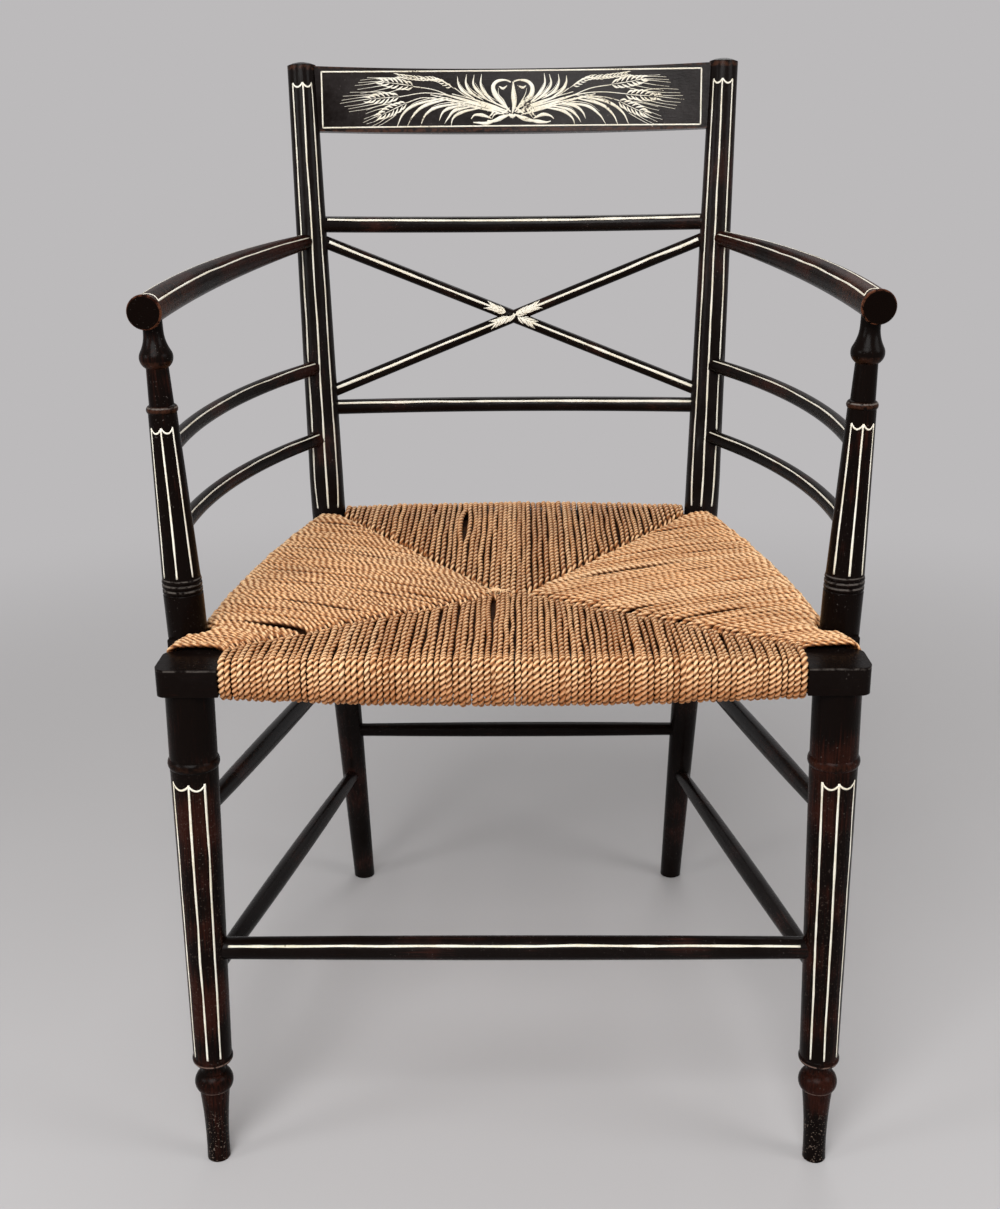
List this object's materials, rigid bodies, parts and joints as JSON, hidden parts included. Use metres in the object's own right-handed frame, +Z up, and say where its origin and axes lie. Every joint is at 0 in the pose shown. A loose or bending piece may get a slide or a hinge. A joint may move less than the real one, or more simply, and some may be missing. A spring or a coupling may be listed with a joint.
{
  "type": "elbow chair",
  "caption": "Elbow chair with a bowed back of crossed bars under a crest board, curved arms on turned supports, turned front legs, stretchers and a wound rush seat.",
  "frame": {"origin": "centre of the chair's box at floor level", "axes": "+Z up, the chair faces -Y, +X to the right seen from the front"},
  "size_m": [0.5456, 0.5212, 0.8602],
  "materials": {
    "ebonised_wood": "satin black polish, rubbed",
    "rush": "twisted rush cord",
    "cream_line": "painted line"
  },
  "bodies": {
    "root": {"back_seat_rail": "ebonised_wood", "back_stretcher": "ebonised_wood", "crest_rail": "ebonised_wood", "falling_cross_bar": "ebonised_wood", "front_seat_rail": "ebonised_wood", "front_stretcher": "ebonised_wood", "left_arm": "ebonised_wood", "left_arm_support": "ebonised_wood", "left_back_post": "ebonised_wood", "left_front_leg": "ebonised_wood", "left_lower_side_bar": "ebonised_wood", "left_lower_stretcher": "ebonised_wood", "left_seat_rail": "ebonised_wood", "left_upper_side_bar": "ebonised_wood", "left_upper_stretcher": "ebonised_wood", "lower_back_rail": "ebonised_wood", "right_arm": "ebonised_wood", "right_arm_support": "ebonised_wood", "right_back_post": "ebonised_wood", "right_front_leg": "ebonised_wood", "right_lower_side_bar": "ebonised_wood", "right_lower_stretcher": "ebonised_wood", "right_seat_rail": "ebonised_wood", "right_upper_side_bar": "ebonised_wood", "right_upper_stretcher": "ebonised_wood", "rising_cross_bar": "ebonised_wood", "rush_seat": "rush", "upper_back_rail": "ebonised_wood"}
  },
  "joints": []
}
